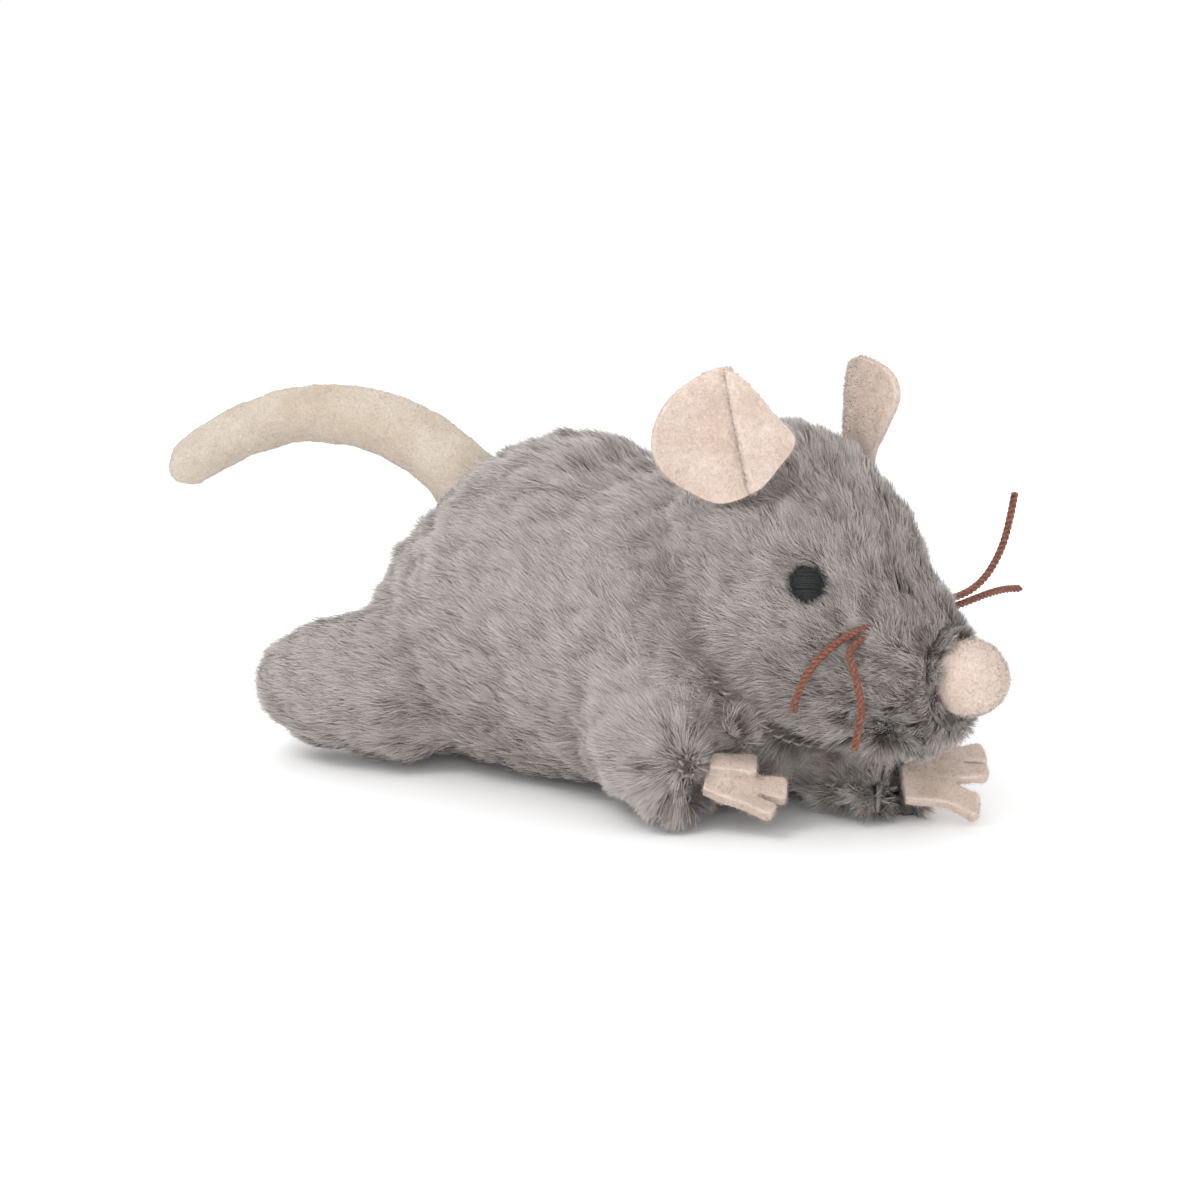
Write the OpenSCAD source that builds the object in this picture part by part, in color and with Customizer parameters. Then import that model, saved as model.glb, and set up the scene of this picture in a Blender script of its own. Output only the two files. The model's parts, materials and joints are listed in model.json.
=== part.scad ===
// Stuffed plush mouse lying on its belly: a sewn fur-fabric body with felt ears, nose and
// paws, a fleece tail and cord whiskers. Forward (the nose) is +X, the mouse's left is +Y,
// up is +Z. The origin is on the surface it lies on, under the middle of its bounding box.
// Every fur solid is drawn to the outer surface of the pile.

/* [Overall] */
// Height of the back above the surface it lies on, to the tips of the pile
back_height = 63; // [61:0.5:65]
// Thickness of the fur fabric, backing and pile together
fur_wall = 4; // [3.5:0.25:4.5]
// Thickness of the felt of the nose and the tail sleeve
felt_wall = 1.2; // [1:0.1:1.5]

/* [Neck] */
// Radius of the rounded back of the head, which sits in the hollow front of the body
neck_radius = 28; // [27:0.25:28.5]
// Lean of the neck seam from upright, its top toward the tail
neck_lean = 32; // [30:1:34]
// Gap between surfaces that move past each other
clearance = 0.5; // [0.4:0.05:0.6]

/* [Nose and eyes] */
// Diameter of the stuffed felt nose
nose_diameter = 13.2; // [12:0.2:14]
// Diameter of each embroidered eye
eye_diameter = 5.6; // [5:0.1:6]

/* [Ears] */
// Height of the right ear above its seam
ear_height_right = 20; // [18:0.5:22]
// Height of the left ear, which is set a little lower
ear_height_left = 17; // [16:0.5:19]
// Greatest width of each ear
ear_width = 25; // [22:0.5:27]
// Thickness of the ear felt
ear_felt = 1.6; // [1.4:0.1:2]

/* [Paws] */
// Thickness of the paw felt
paw_felt = 2.6; // [2.2:0.1:3]
// Width of one finger
finger_width = 4.2; // [3.6:0.1:4.6]

/* [Tail] */
// Diameter of the tail where it leaves the body
tail_root_diameter = 13.6; // [12.6:0.2:14]
// Diameter of the tail near its tip
tail_tip_diameter = 9.6; // [8.4:0.2:10.2]

/* [Whiskers and thread] */
// Diameter of the twisted whisker cord
cord_diameter = 1.4; // [1.2:0.1:1.6]
// Diameter of the sewing thread, several strands together
thread_diameter = 0.8; // [0.6:0.1:1]

/* [Hidden] */

$fn = 48;
form_sides = 20;        // points round each ring of a soft form
room_sides = 12;        // points round each ring of the room left for a moving form
tube_sides = 8;         // points round a whisker cord
big = 400;              // larger than the whole object

fur_grey = "#9b9790";
felt_pink = "#f0cfc2";
felt_cream = "#e6d9bb";
cord_brown = "#a5573c";
eye_black = "#26262a";
fibre_white = "#f2f2ee";

neck_centre = [47, 0, 34];
nose_centre = [86.8, 0, 27.4];
tail_pivot = [-15, 0, 45];
whisker_hole = [75, 0, 36.4];
arm_right_pivot = [34, -20, 0];
arm_left_pivot = [38, 22, 0];
arm_swing = 25;         // how far an arm swings outward
belly_seam_z = 7;       // the belly panel is sewn to the side panels at this height
chin_seam_z = 19;       // the chin panel is sewn to the cheeks at this height

// Rings: [centre, half width, reach up, reach down, lean, heading]. A ring stands across
// the form's own direction; lean tips its top back and heading turns it to the left.
trunk_rings = [
    [[-38, 0, 18], 6, 5, 7, 0, 0],
    [[-36.5, 0, 18.6], 12, 9.6, 14, 0, 0],
    [[-32, 0, 20.5], 17, 14.6, 21, 0, 0],
    [[-25.5, 0, 23], 21, back_height - 41.5, 28, 0, 0],
    [[-17, 0, 25], 25, back_height - 37, 32, 0, 0],
    [[-8, 0, 27], 29, back_height - 31, 35, 0, 0],
    [[2, 0, 28], 31, back_height - 28, 36, 0, 0],
    [[14, 0, 28], 31.5, back_height - 28.5, 36, 4, 0],
    [[25, 0, 29], 31.5, back_height - 32.5, 37, 12, 0],
    [[36, 0, 31], 31, 29, 37, 22, 0],
    [neck_centre, 30, 30, 30, neck_lean, 0]
];
hind_leg_rings = [          // the left one; the right one is its mirror image
    [[-49.5, 21.5, 13], 3.5, 4, 5, 0, 0],
    [[-47.5, 21.5, 13.2], 7.5, 8.4, 9.6, 0, 0],
    [[-42.5, 21.5, 13.4], 11, 11.4, 12.6, 0, 0],
    [[-35.5, 21.3, 13.6], 12.8, 13.6, 14.4, 0, 0],
    [[-26, 20.5, 14.4], 13.8, 15.6, 15.6, 0, 0],
    [[-14, 18, 15], 14, 17, 17, 0, 0],
    [[-6, 15, 16], 9, 12, 12, 0, 0]
];
head_rings = [
    [[73, 0, 30.8], 17.2, 19, 20.2, 0, 0],
    [[78, 0, 28.4], 14.4, 15.2, 17, 0, 0],
    [[82.5, 0, 26.6], 11.8, 12, 14, 0, 0],
    [[86, 0, 25.6], 8.6, 8.8, 10.2, 0, 0],
    [[87.8, 0, 25.4], 4.4, 4.8, 5.6, 0, 0]
];
head_middle_rings = [
    [[55.5, 0, 37], 26.6, 32.6, 26.6, 12, 0],
    [[61.5, 0, 36], 24.4, 30, 25.2, 5, 0],
    [[67, 0, 34.2], 21, 24.6, 23.6, 0, 0]
];
arm_right_rings = [
    [[26, -11.6, 17], 4, 6, 7, 0, -40],
    [[27.8, -13.2, 17], 9, 11, 12, 0, -40],
    [[31, -16, 16.8], 12.2, 14.4, 16.4, 0, -40],
    [[35, -19.4, 16], 13, 15, 16, 0, -40],
    [[40, -22.8, 14], 13.4, 14, 14, 0, -38],
    [[45, -25.5, 12.6], 10.6, 12, 12.6, 0, -34],
    [[48.8, -27.8, 12.2], 7.4, 8.4, 10.6, 0, -32],
    [[50.6, -29, 12.2], 3.6, 4, 5.6, 0, -32]
];
arm_left_rings = [
    [[29, 24.6, 11], 3.5, 4.5, 5, 0, -8],
    [[31, 24.2, 11], 8, 9, 10, 0, -12],
    [[37, 22.4, 10], 10, 9, 10.6, 0, -22],
    [[46, 16.4, 7], 11.4, 5, 8.6, 0, -36],
    [[56, 8.6, 5.2], 12, 4.9, 6.4, 0, -40],
    [[64.5, 2.2, 5.2], 11.8, 4.9, 6, 0, -34],
    [[71.5, -1.4, 5.2], 9.6, 4.7, 5.4, 0, -22],
    [[76, -2.8, 5.2], 5, 2.8, 3.4, 0, -14]
];

// The tail's centreline, root to tip
tail_route = [
    [-15, 0, 45], [-18, 0, 49.2], [-22.5, 0, 53], [-29, 0, 56.7], [-37, 0, 59.2], [-46, 0, 60.4],
    [-55, 0, 60.2], [-64, 0, 58.6], [-73, 0, 55.5], [-82, 0, 51], [-88.4, 0, 47.2], [-92.2, 0, 45]
];
tail_swing = 20;        // how far the tail swings to each side
tail_rise = 47;         // slope of the tail where it leaves the body

// ---- geometry helpers ----

function mirrored(rings) =
    [for (r = rings) [[r[0].x, -r[0].y, r[0].z], r[1], r[2], r[3], r[4], -r[5]]];

function forward_of(ring) =
    [cos(ring[5]) * cos(ring[4]), sin(ring[5]) * cos(ring[4]), sin(ring[4])];
function across_of(ring) = [-sin(ring[5]), cos(ring[5]), 0];
function up_of(ring) =
    [-cos(ring[5]) * sin(ring[4]), -sin(ring[5]) * sin(ring[4]), cos(ring[4])];

// The points of one ring, drawn in by inset and moved along the form by shift
function ring_points(ring, inset, shift, sides) =
    let (c = ring[0] + shift * forward_of(ring), s = across_of(ring), u = up_of(ring))
    [for (i = [0 : sides - 1])
        let (
            a = 360 * i / sides,
            reach = max(0.6, (sin(a) >= 0 ? ring[2] : ring[3]) - inset),
            p = c + s * max(0.6, ring[1] - inset) * cos(a) + u * reach * sin(a)
        )
        [p.x, p.y, max(inset, p.z)]];

function flip(list) = [for (i = [len(list) - 1 : -1 : 0]) list[i]];

// A closed skin over a list of equal rings of points
module skin(rings) {
    n = len(rings[0]);
    last = (len(rings) - 1) * n;
    points = [for (r = rings) for (p = r) p];
    sides = [for (k = [0 : len(rings) - 2]) for (i = [0 : n - 1])
        let (a = k * n + i, b = k * n + (i + 1) % n)
        each [[a, b + n, b], [a, a + n, b + n]]];
    start_cap = [for (i = [0 : n - 1]) i];
    end_cap = [for (i = [n - 1 : -1 : 0]) last + i];
    polyhedron(points = points, faces = concat(sides, [start_cap, end_cap]), convexity = 6);
}

// A soft form through its rings, drawn in on every side by inset
module form(rings, inset = 0, sides = form_sides) {
    last = len(rings) - 1;
    skin([for (k = [0 : last])
        ring_points(rings[k], inset, k == 0 ? inset : (k == last ? -inset : 0), sides)]);
}

// Ring k of a round tube of radius r along a route
function route_ring(route, k, r) =
    let (d = route[min(k + 1, len(route) - 1)] - route[max(k - 1, 0)])
    [route[k], r, r, r, atan2(d.z, norm([d.x, d.y])), atan2(d.y, d.x)];

// ---- the body ----

module body_form(inset, side) {
    form(trunk_rings, inset);
    if (side >= 0) form(hind_leg_rings, inset);
    if (side <= 0) form(mirrored(hind_leg_rings), inset);
}

// Room for an arm at each of the turns that it makes about its shoulder
module arm_room(rings, pivot, turns) {
    for (turn = turns)
        translate(pivot) rotate(turn) translate(-pivot)
            form(rings, -2 * clearance, room_sides);
}

// A flaring well in the rump, wide enough for the tail at both ends of its swing
module tail_room() {
    r = tail_root_diameter / 2 + 2 * clearance;
    hull() for (turn = [-tail_swing, 0, tail_swing])
        translate(tail_pivot) rotate([0, tail_rise - 90, turn])
            translate([0, 0, -r]) cylinder(r = r, h = r + 18, $fn = 24);
}

// Room in the body for the head's rounded back, the arms, the tail's root and, on the right,
// for the paw as its arm swings
module body_hollows(side) {
    translate(neck_centre) sphere(r = neck_radius + clearance);
    arm_room(arm_left_rings, arm_left_pivot, side >= 0 ? [0, arm_swing / 2, arm_swing] : [0]);
    if (side <= 0)
        arm_room(arm_right_rings, arm_right_pivot, [0, -arm_swing / 2, -arm_swing]);
    tail_room();
    if (side <= 0) at_paw(-1) translate([-3, -7, -4.5]) cube([18, 14, 12]);
}

module body_shell(side) {
    difference() {
        body_form(0, side);
        body_form(fur_wall, side);
        body_hollows(side);
    }
}

module body_side(side) {
    color(fur_grey) difference() {
        intersection() {
            body_shell(side);
            translate([-big / 2, side > 0 ? 0 : -big, belly_seam_z]) cube(big);
        }
        if (side < 0) throat_gap();
    }
}

// The right panel stops short of the throat, where the paw's room would cut off its corner
module throat_gap() {
    translate([47.8, -17.2, 6.5]) cube([15.2, 14, 6.5]);
}

module body_panel_left() { body_side(1); }
module body_panel_right() { body_side(-1); }

module belly_panel() {
    color(fur_grey) intersection() {
        body_shell(0);
        translate([-big / 2, -big / 2, belly_seam_z - big]) cube(big);
    }
}

// Loose fibre inside the trunk, from the rump to the hollow for the head
module body_filling() {
    color(fibre_white) difference() {
        form(trunk_rings, fur_wall);
        body_hollows(0);
        translate([neck_centre.x - 7, -big / 2, -big / 2]) cube(big);
    }
}

module leg_filling(side) {
    color(fibre_white) difference() {
        form(side > 0 ? hind_leg_rings : mirrored(hind_leg_rings), fur_wall);
        form(trunk_rings, fur_wall);
    }
}

module hind_leg_filling_left() { leg_filling(1); }
module hind_leg_filling_right() { leg_filling(-1); }

// Ladder stitch round the neck, against the body's edge and just clear of the head. It ends
// on each side above the arms, because the throat is left loose
neck_thread_arc = 220;
module neck_thread() {
    color(fur_grey) translate(neck_centre) rotate([0, 90 - neck_lean, 0])
        translate([0, 0, thread_diameter / 2]) rotate([0, 0, 180 - neck_thread_arc / 2])
            rotate_extrude(angle = neck_thread_arc)
                translate([neck_radius + 1.5 * thread_diameter, 0])
                    circle(d = thread_diameter, $fn = 16);
}

// ---- the head ----

// The rounded back of the head, as rings on a ball about the neck's centre
back_of_head_rings = [for (d = [-27.4, -25.5, -21.5, -15, -7, 1])
    let (r = sqrt(pow(neck_radius, 2) - d * d))
    [neck_centre + d * [cos(neck_lean), 0, sin(neck_lean)], r, r, r, neck_lean, 0]];
all_head_rings = concat(back_of_head_rings, head_middle_rings, head_rings);

function side_of(side, v) = [v.x, side * v.y, v.z];

ear_root = [55, 18, 60];
ear_heading = 35;       // each ear faces forward and this far short of straight sideways
eye_place = [66.2, 18.9, 44.4];
ear_room = 3.7;         // radius of the trough that an ear's lower edge folds in
eye_depth = 1.2;        // how deep an eye's stitches are sunk in the pile

module at_ear(side) {
    translate(side_of(side, ear_root)) rotate(-side * ear_heading) mirror([0, side > 0 ? 1 : 0, 0])
        children();
}

module at_eye(side) {
    translate(side_of(side, eye_place)) rotate([0, 70, side * 58]) children();
}

module head_hollows() {
    for (side = [-1, 1]) {
        at_ear(side) rotate([0, 90, 0]) cylinder(r = ear_room, h = 13, center = true);
        at_eye(side) translate([0, 0, -eye_depth]) cylinder(d = eye_diameter, h = 8);
    }
    translate(nose_centre) sphere(d = nose_diameter);
    translate(whisker_hole) rotate([90, 0, 0])
        cylinder(r = cord_diameter + 0.2, h = 60, center = true);
}

module head_shell() {
    difference() {
        form(all_head_rings);
        form(all_head_rings, fur_wall);
        head_hollows();
    }
}

module head_side(side) {
    color(fur_grey) difference() {
        intersection() {
            head_shell();
            translate([-big / 2, side > 0 ? 0 : -big, -big / 2]) cube(big);
        }
        chin_region();
    }
}

// The chin panel runs forward from the throat, below the cheeks
module chin_region() {
    translate([neck_centre.x + 6, -big / 2, chin_seam_z - big]) cube(big);
}

module head_panel_left() { head_side(1); }
module head_panel_right() { head_side(-1); }

module chin_panel() {
    color(fur_grey) intersection() {
        head_shell();
        chin_region();
    }
}

module head_filling() {
    color(fibre_white) difference() {
        form(all_head_rings, fur_wall);
        head_hollows();
    }
}

module nose_cap() {
    color(felt_pink) translate(nose_centre) difference() {
        sphere(d = nose_diameter);
        sphere(d = nose_diameter - 2 * felt_wall);
    }
}

module nose_filling() {
    color(fibre_white) translate(nose_centre) sphere(d = nose_diameter - 2 * felt_wall);
}

// A satin-stitched spot with a low dome
module eye(side) {
    r = eye_diameter / 2;
    color(eye_black) at_eye(side) rotate_extrude()
        polygon([[0, -eye_depth], [r, -eye_depth], [r, 0.1], [0.8 * r, 0.6], [0.5 * r, 0.9], [0, 1]]);
}

module eye_left() { eye(1); }
module eye_right() { eye(-1); }

// ---- whiskers: two cords through the muzzle, each with two free ends ----

whisker_upper_route = [
    [67.2, -24.4, 23.6], [67.4, -23.8, 26], [68.2, -22.6, 29], [69.8, -20.6, 32.4],
    [72.4, -17.4, 35.4], [74.4, -12, 37], [75, -6, 37.2], [75, 0, 37.2], [75, 6, 37.2],
    [75, 12, 37.2], [76, 15.6, 37.4], [77.4, 19, 38.6], [78.4, 22.4, 41], [79, 25.8, 45],
    [79.1, 28.2, 49.6], [79, 30, 53.8]
];
whisker_lower_route = [
    [76.2, -19.6, 17.5], [77.2, -20.2, 21], [77.9, -20.6, 25.4], [76.6, -20.2, 30],
    [74.2, -18, 33.6], [74.2, -12, 35.4], [75, -6, 35.6], [75, 0, 35.6], [75, 6, 35.6],
    [75, 12, 35.6], [76, 15.8, 35.8], [77.2, 19, 36.4], [78.2, 22.6, 36.9], [79, 27, 37],
    [80, 31, 36.6]
];

module cord(route) {
    color(cord_brown) skin([for (k = [0 : len(route) - 1]) cord_ring(route, k)]);
}

// The cords run mostly across the head, so every ring is turned alike about the X axis
function cord_ring(route, k) =
    let (
        run = route[min(k + 1, len(route) - 1)] - route[max(k - 1, 0)],
        u = cross([1, 0, 0], run) / norm(cross([1, 0, 0], run)),
        v = cross(run, u) / norm(run)
    )
    [for (i = [0 : tube_sides - 1]) let (a = 360 * i / tube_sides)
        route[k] + cord_diameter / 2 * (u * cos(a) + v * sin(a))];

module whisker_cord_upper() { cord(whisker_upper_route); }
module whisker_cord_lower() { cord(whisker_lower_route); }

// Gathering stitch that draws the chin in, a ring inside the pucker
muzzle_thread_place = [73, -4, 17];
module muzzle_thread() {
    color(fur_grey) translate(muzzle_thread_place) rotate_extrude()
        translate([1.6, 0]) circle(d = thread_diameter, $fn = 16);
}

// ---- the ears ----

// Outline of an ear about its root: [toward the nose, up], in parts of the ear's size
ear_outline = [
    [0.14, -0.11], [0.25, 0.14], [0.28, 0.44], [0.12, 0.7], [-0.03, 0.92], [-0.2, 1],
    [-0.43, 0.9], [-0.61, 0.68], [-0.7, 0.38], [-0.64, 0.08], [-0.44, -0.08], [-0.18, -0.11]
];
ear_middle = [-0.2, 0.4];
ear_cup = 4;            // how far the ear's rim curls forward of its middle

function ear_point(k, part, face, height) =
    let (
        q = ear_middle + part * (ear_outline[k] - ear_middle),
        curl = -ear_cup * pow(abs(q.x - ear_middle.x) / 0.5, 2)
    )
    [q.x * ear_width, curl + face * ear_felt / 2, q.y * height];

module ear(side) {
    n = len(ear_outline);
    parts = [0.04, 0.5, 1];
    height = side > 0 ? ear_height_left : ear_height_right;
    rings = concat(
        [for (part = parts) [for (k = [0 : n - 1]) ear_point(k, part, 1, height)]],
        [for (part = flip(parts)) [for (k = [0 : n - 1]) ear_point(k, part, -1, height)]]);
    color(felt_pink) at_ear(side) skin(rings);
}

module ear_left() { ear(1); }
module ear_right() { ear(-1); }

// ---- the arms and paws ----

module arm_form(side, inset) {
    form(side > 0 ? arm_left_rings : arm_right_rings, inset);
}

// Room in an arm for the back of the head, as the arm swings past it
module head_room(side) {
    pivot = side > 0 ? arm_left_pivot : arm_right_pivot;
    for (turn = [0, arm_swing / 2, arm_swing])
        translate(pivot) rotate(-side * turn) translate(neck_centre - pivot)
            sphere(r = neck_radius + clearance);
}

function arm_wall(side) = side > 0 ? 0.75 * fur_wall : fur_wall;

module arm_sleeve(side) {
    color(fur_grey) difference() {
        arm_form(side, 0);
        arm_form(side, arm_wall(side));
        head_room(side);
        paw_room(side);
    }
}

module arm_filling(side) {
    color(fibre_white) difference() {
        arm_form(side, arm_wall(side));
        head_room(side);
        paw_room(side);
    }
}

// Where each felt paw is sewn to its sleeve: [root, heading, droop, roll]
paw_left_seat = [[75.7, 1.8, 5.8], 38, 0, 34];
paw_right_seat = [[52, -22.8, 8.8], 28, 8, 32];

module at_paw(side) {
    seat = side > 0 ? paw_left_seat : paw_right_seat;
    translate(seat[0]) rotate([0, 0, seat[1]]) rotate([seat[3], seat[2], 0]) children();
}

// Three rounded fingers cut in one piece with a short palm; the root lies on the Y axis
module paw(side) {
    palm_x = 4.6;
    finger_reach = 9;
    color(felt_pink) at_paw(side) translate([0, 0, -paw_felt / 2]) linear_extrude(paw_felt) {
        translate([-1.4, -3.8]) square([palm_x + 1.4, 7.6]);
        translate([palm_x, 0]) circle(r = 4.4);
        for (spread = [-34, 2, 38]) translate([palm_x, 0]) rotate(spread) {
            translate([0, -finger_width / 2]) square([finger_reach - finger_width / 2, finger_width]);
            translate([finger_reach - finger_width / 2, 0]) circle(d = finger_width);
        }
    }
}

// Room in a sleeve's end for the paw's root to tip up and down
module paw_room(side) {
    at_paw(side) rotate([90, 0, 0]) cylinder(r = 3.2, h = 9, center = true);
}

module paw_left() { paw(1); }
module paw_right() { paw(-1); }

module arm_sleeve_left() { arm_sleeve(1); }
module arm_sleeve_right() { arm_sleeve(-1); }
module arm_filling_left() { arm_filling(1); }
module arm_filling_right() { arm_filling(-1); }

// Gathering stitch that closes a sleeve's end, at the middle of its pucker
module cuff_thread(side) {
    rings = side > 0 ? arm_left_rings : arm_right_rings;
    end_ring = rings[len(rings) - 2];
    color(fur_grey) translate(end_ring[0]) rotate([0, 90, end_ring[5]])
        rotate_extrude() translate([1.7, 0]) circle(d = thread_diameter, $fn = 16);
}

module cuff_thread_left() { cuff_thread(1); }
module cuff_thread_right() { cuff_thread(-1); }

// ---- the tail ----

tail_last = len(tail_route) - 1;
function tail_radius(k) =
    (tail_root_diameter + (tail_tip_diameter - tail_root_diameter) * k / (tail_last - 1)) / 2;
tail_rings = concat(
    [for (k = [0 : tail_last - 1]) route_ring(tail_route, k, tail_radius(k))],
    [route_ring(tail_route, tail_last, tail_tip_diameter / 4)]);

// The sleeve starts as a ball about the tail's pivot, which the body's hollow holds
module tail_form(inset) {
    form(tail_rings, inset);
    translate(tail_pivot) sphere(r = tail_root_diameter / 2 + 0.2 - inset);
}

module tail_sleeve() {
    color(felt_cream) difference() {
        tail_form(0);
        tail_form(felt_wall);
    }
}

module tail_filling() {
    color(fibre_white) tail_form(felt_wall);
}

// Ring of stitches that holds the tail in the rump
module tail_thread() {
    color(fur_grey) translate(tail_pivot) rotate([0, tail_rise - 90, 0]) translate([0, 0, 5])
        rotate_extrude() translate([tail_root_diameter / 2 + 2.2, 0])
            circle(d = thread_diameter, $fn = 16);
}

body_panel_left();
body_panel_right();
belly_panel();
body_filling();
hind_leg_filling_left();
hind_leg_filling_right();
neck_thread();
tail_thread();
head_panel_left();
head_panel_right();
chin_panel();
head_filling();
nose_cap();
nose_filling();
eye_left();
eye_right();
whisker_cord_upper();
whisker_cord_lower();
muzzle_thread();
ear_left();
ear_right();
arm_sleeve_left();
arm_sleeve_right();
arm_filling_left();
arm_filling_right();
cuff_thread_left();
cuff_thread_right();
paw_left();
paw_right();
tail_sleeve();
tail_filling();
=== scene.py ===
"""Looks of a stuffed plush mouse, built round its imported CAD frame.

Units are metres in Blender. The fur code works in millimetres (MM turns them into metres).
+X is the nose, +Y the mouse's left, +Z up.
"""

import json
import math

import bmesh
import bpy
import numpy as np
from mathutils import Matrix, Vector
from mathutils.bvhtree import BVHTree
from mathutils.kdtree import KDTree


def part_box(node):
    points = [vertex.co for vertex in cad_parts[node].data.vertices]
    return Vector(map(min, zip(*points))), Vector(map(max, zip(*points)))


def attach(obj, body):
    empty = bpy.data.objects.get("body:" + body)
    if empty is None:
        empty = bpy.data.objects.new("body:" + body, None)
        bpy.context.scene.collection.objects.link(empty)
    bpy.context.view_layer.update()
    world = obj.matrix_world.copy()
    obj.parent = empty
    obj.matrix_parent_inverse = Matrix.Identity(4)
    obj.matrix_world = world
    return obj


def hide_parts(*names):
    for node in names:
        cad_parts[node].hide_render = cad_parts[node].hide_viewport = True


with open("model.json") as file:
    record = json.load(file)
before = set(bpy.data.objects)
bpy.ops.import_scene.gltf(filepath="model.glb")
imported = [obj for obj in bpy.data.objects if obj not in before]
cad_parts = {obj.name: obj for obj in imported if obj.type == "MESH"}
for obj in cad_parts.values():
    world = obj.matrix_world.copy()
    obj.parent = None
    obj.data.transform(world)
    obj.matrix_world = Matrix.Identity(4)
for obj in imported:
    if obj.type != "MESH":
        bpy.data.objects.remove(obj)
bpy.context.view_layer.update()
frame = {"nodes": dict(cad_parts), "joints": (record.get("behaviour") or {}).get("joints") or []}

MM = 0.001
nodes = frame["nodes"]
joints = {j["name"]: j for j in frame["joints"]}


def middle(node):
    """The middle of a CAD node's box, in millimetres."""
    low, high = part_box(node)
    return np.array((low + high) / 2) / MM


def pivot(joint):
    """A joint's place, in millimetres."""
    return np.array(joints[joint]["pos_m"]) / MM


NECK = pivot("neck_turn")
NECK_LEAN = math.radians(32)
NECK_FORWARD = np.array([math.cos(NECK_LEAN), 0, math.sin(NECK_LEAN)])
NOSE = middle("nose_cap")
NOSE_RADIUS = (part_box("nose_cap")[1].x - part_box("nose_cap")[0].x) / 2 / MM
EYE_RIGHT = middle("eye_right")
EYE_LEFT = middle("eye_left")
CHIN_PUCKER = middle("muzzle_thread")
CUFF_RIGHT = middle("cuff_thread_right")
CUFF_LEFT = middle("cuff_thread_left")
TAIL_ROOT = middle("tail_thread")


# ---- small helpers ----

WAVES = 9       # plane waves added up for smooth noise


def unit(v):
    return v / np.maximum(np.linalg.norm(v, axis=-1, keepdims=True), 1e-9)


def smoothstep(low, high, x):
    t = np.clip((x - low) / (high - low), 0, 1)
    return t * t * (3 - 2 * t)


def new_object(name, mesh):
    obj = bpy.data.objects.new(name, mesh)
    bpy.context.scene.collection.objects.link(obj)
    return obj


def mesh_from(name, points, faces, smooth=True):
    """A mesh from points in millimetres and faces."""
    mesh = bpy.data.meshes.new(name)
    mesh.from_pydata([tuple(p) for p in np.asarray(points) * MM], [], faces)
    mesh.update()
    if smooth:
        mesh.shade_smooth()
    return mesh


def applied(obj):
    """Replaces an object's mesh by what its modifiers make of it."""
    depsgraph = bpy.context.evaluated_depsgraph_get()
    mesh = bpy.data.meshes.new_from_object(obj.evaluated_get(depsgraph), depsgraph=depsgraph)
    obj.modifiers.clear()
    obj.data = mesh
    mesh.shade_smooth()
    return obj


def points_of(mesh):
    """A mesh's points and normals, in millimetres."""
    n = len(mesh.vertices)
    points, normals = np.zeros(n * 3), np.zeros(n * 3)
    mesh.vertices.foreach_get("co", points)
    mesh.vertex_normals.foreach_get("vector", normals)
    return points.reshape(-1, 3) / MM, normals.reshape(-1, 3)


def set_points(mesh, points):
    mesh.vertices.foreach_set("co", (points * MM).astype(np.float32).ravel())
    mesh.update()


def waves(p, size, seed):
    """Smooth noise from -1 to 1 over points in millimetres, with patches of about that size."""
    rng = np.random.default_rng(seed)
    total = np.zeros(len(p))
    for _ in range(WAVES):
        k = rng.normal(size=3)
        k *= 2 * math.pi / (size * rng.uniform(0.8, 1.6)) / np.linalg.norm(k)
        total += np.sin(p @ k + rng.uniform(0, 2 * math.pi))
    return np.clip(total / math.sqrt(WAVES / 2) / 1.8, -1, 1)


# ---- materials ----

def material(name, roughness, specular=0.3, sheen=0.0, sheen_tint=(1, 1, 1)):
    m = bpy.data.materials.new(name)
    m.use_nodes = True
    tree = m.node_tree
    shader = tree.nodes["Principled BSDF"]
    shader.inputs["Roughness"].default_value = roughness
    shader.inputs["Specular IOR Level"].default_value = specular
    shader.inputs["Sheen Weight"].default_value = sheen
    shader.inputs["Sheen Roughness"].default_value = 0.5
    shader.inputs["Sheen Tint"].default_value = (*sheen_tint, 1)
    return m, tree, shader


def ramp(tree, stops, socket):
    node = tree.nodes.new("ShaderNodeValToRGB")
    while len(node.color_ramp.elements) < len(stops):
        node.color_ramp.elements.new(0.5)
    for element, (place, colour) in zip(node.color_ramp.elements, stops):
        element.position = place
        element.color = (*colour, 1)
    tree.links.new(socket, node.inputs["Fac"])
    return node.outputs["Color"]


def multiply(tree, a, b):
    node = tree.nodes.new("ShaderNodeMix")
    node.data_type = "RGBA"
    node.blend_type = "MULTIPLY"
    node.inputs["Factor"].default_value = 1.0
    tree.links.new(a, node.inputs[6])
    tree.links.new(b, node.inputs[7])
    return node.outputs[2]


def noise(tree, scale, detail, roughness=0.6):
    """Noise in object space; scale is in patches a metre."""
    node = tree.nodes.new("ShaderNodeTexNoise")
    node.inputs["Scale"].default_value = scale
    node.inputs["Detail"].default_value = detail
    node.inputs["Roughness"].default_value = roughness
    place = tree.nodes.new("ShaderNodeTexCoord").outputs["Object"]
    tree.links.new(place, node.inputs["Vector"])
    return node.outputs["Fac"]


def bump(tree, shader, height, strength, distance):
    node = tree.nodes.new("ShaderNodeBump")
    node.inputs["Strength"].default_value = strength
    node.inputs["Distance"].default_value = distance
    tree.links.new(height, node.inputs["Height"])
    tree.links.new(node.outputs["Normal"], shader.inputs["Normal"])


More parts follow.
